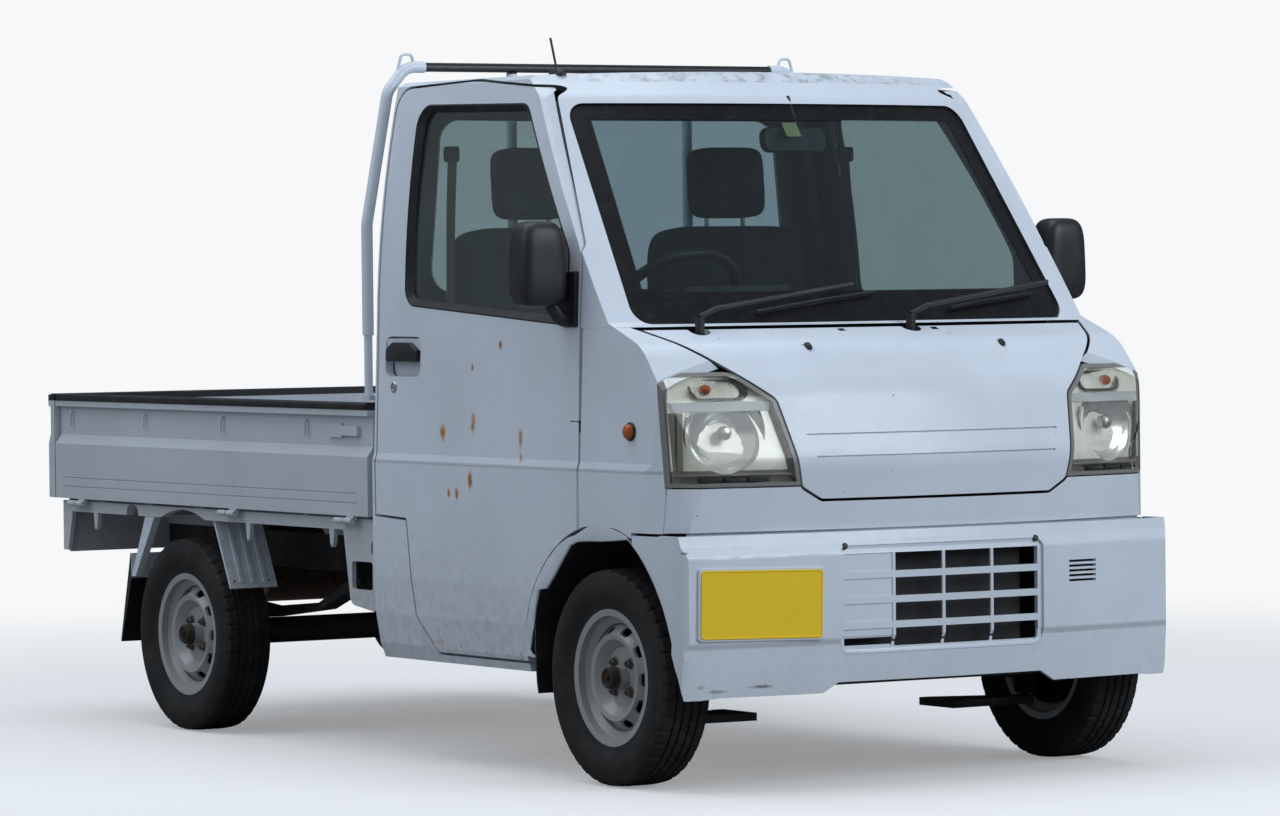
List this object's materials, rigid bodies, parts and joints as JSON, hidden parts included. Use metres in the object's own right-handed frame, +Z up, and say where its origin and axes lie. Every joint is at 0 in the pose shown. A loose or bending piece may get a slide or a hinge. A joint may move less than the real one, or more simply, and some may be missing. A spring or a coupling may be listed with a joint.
{
  "type": "kei truck",
  "caption": "Small forward-control truck with a two-seat cab, drop-side load bed, hinged side gates and tailgate, and a guard frame behind the cab.",
  "frame": {"origin": "on the ground, half way along and across the vehicle", "axes": "+Z up, the front faces -Y, +X is the vehicle's left side"},
  "size_m": [1.714, 3.3913, 1.8509],
  "materials": {
    "body_white": "worn white paint, slightly blue in shade",
    "glass_clear": "clear glass",
    "lamp_housing": "lamp housing",
    "lamp_cover": "clear lamp cover, a little yellowed",
    "tail_lamp": "red lamp cover",
    "trim_black": "black moulded plastic",
    "interior_grey": "grained grey plastic",
    "seat_cloth": "dark grey woven cloth",
    "chassis_black": "black chassis paint with dust and rust",
    "cast_metal": "dirty cast iron",
    "wheel_silver": "silver painted steel",
    "tyre_rubber": "black tyre rubber",
    "flap_rubber": "black rubber sheet",
    "exhaust_steel": "rusty steel",
    "radiator_fins": "dusty black fins"
  },
  "bodies": {
    "chassis": {"cab_frame": "body_white", "cab_floor": "interior_grey", "roof": "body_white", "cab_glass": "glass_clear", "fenders": "body_white", "front_panel": "body_white", "front_bumper": "body_white", "headlamps": "lamp_housing", "headlamp_covers": "lamp_cover", "dashboard": "interior_grey", "seats": "seat_cloth", "chassis_frame": "chassis_black", "engine": "cast_metal", "radiator": "radiator_fins", "fuel_tank": "chassis_black", "exhaust": "exhaust_steel", "front_suspension": "chassis_black", "rear_axle": "chassis_black", "bed": "body_white", "guard_frame": "body_white", "mudguards": "flap_rubber", "tail_lamps": "tail_lamp", "wipers": "trim_black", "antenna": "trim_black"},
    "door_left": {"door_left": "body_white", "door_glass_left": "glass_clear", "mirror_left": "trim_black"},
    "door_right": {"door_right": "body_white", "door_glass_right": "glass_clear", "mirror_right": "trim_black"},
    "bonnet": {"bonnet": "body_white"},
    "side_gate_left": {"side_gate_left": "body_white"},
    "side_gate_right": {"side_gate_right": "body_white"},
    "tailgate": {"tailgate": "body_white"},
    "steering_wheel": {"steering_wheel": "trim_black"},
    "knuckle_left": {"knuckle_left": "cast_metal"},
    "knuckle_right": {"knuckle_right": "cast_metal"},
    "wheel_front_left": {"wheel_front_left": "wheel_silver", "tyre_front_left": "tyre_rubber"},
    "wheel_front_right": {"wheel_front_right": "wheel_silver", "tyre_front_right": "tyre_rubber"},
    "wheel_rear_left": {"wheel_rear_left": "wheel_silver", "tyre_rear_left": "tyre_rubber"},
    "wheel_rear_right": {"wheel_rear_right": "wheel_silver", "tyre_rear_right": "tyre_rubber"}
  },
  "joints": [
    {"name": "steer_left", "type": "hinge", "parent": "chassis", "child": "knuckle_left", "pos_m": [0.548, -1.2775, 0.267], "axis": [0, 0, 1], "range_deg": [-35, 35]},
    {"name": "steer_right", "type": "hinge", "parent": "chassis", "child": "knuckle_right", "pos_m": [-0.548, -1.2775, 0.267], "axis": [0, 0, 1], "range_deg": [-35, 35]},
    {"name": "steering_wheel_turn", "type": "hinge", "parent": "chassis", "child": "steering_wheel", "pos_m": [-0.293, -0.93, 1.18], "axis": [0, 0.7071, 0.7071], "range_deg": [-525, 525]},
    {"name": "spin_front_left", "type": "hinge", "parent": "knuckle_left", "child": "wheel_front_left", "pos_m": [0.6525, -1.2775, 0.267], "axis": [1, 0, 0], "continuous": true},
    {"name": "spin_front_right", "type": "hinge", "parent": "knuckle_right", "child": "wheel_front_right", "pos_m": [-0.6525, -1.2775, 0.267], "axis": [1, 0, 0], "continuous": true},
    {"name": "spin_rear_left", "type": "hinge", "parent": "chassis", "child": "wheel_rear_left", "pos_m": [0.65, 0.9225, 0.267], "axis": [1, 0, 0], "continuous": true},
    {"name": "spin_rear_right", "type": "hinge", "parent": "chassis", "child": "wheel_rear_right", "pos_m": [-0.65, 0.9225, 0.267], "axis": [1, 0, 0], "continuous": true},
    {"name": "door_left_swing", "type": "hinge", "parent": "chassis", "child": "door_left", "pos_m": [0.7195, -1.146, 0.8], "axis": [0, 0, -1], "range_deg": [0, 65]},
    {"name": "door_right_swing", "type": "hinge", "parent": "chassis", "child": "door_right", "pos_m": [-0.7195, -1.146, 0.8], "axis": [0, 0, 1], "range_deg": [0, 65]},
    {"name": "bonnet_lift", "type": "hinge", "parent": "chassis", "child": "bonnet", "pos_m": [0, -1.45, 1.108], "axis": [-1, 0, 0], "range_deg": [0, 45]},
    {"name": "side_gate_left_drop", "type": "hinge", "parent": "chassis", "child": "side_gate_left", "pos_m": [0.741, 0.75, 0.613], "axis": [0, 1, 0], "range_deg": [0, 170]},
    {"name": "side_gate_right_drop", "type": "hinge", "parent": "chassis", "child": "side_gate_right", "pos_m": [-0.741, 0.75, 0.613], "axis": [0, -1, 0], "range_deg": [0, 170]},
    {"name": "tailgate_drop", "type": "hinge", "parent": "chassis", "child": "tailgate", "pos_m": [0, 1.6915, 0.613], "axis": [-1, 0, 0], "range_deg": [0, 170]}
  ],
  "couplings": [
    {"joint": "steer_right", "follows": "steer_left", "ratio": 1},
    {"joint": "steering_wheel_turn", "follows": "steer_left", "ratio": 15}
  ]
}
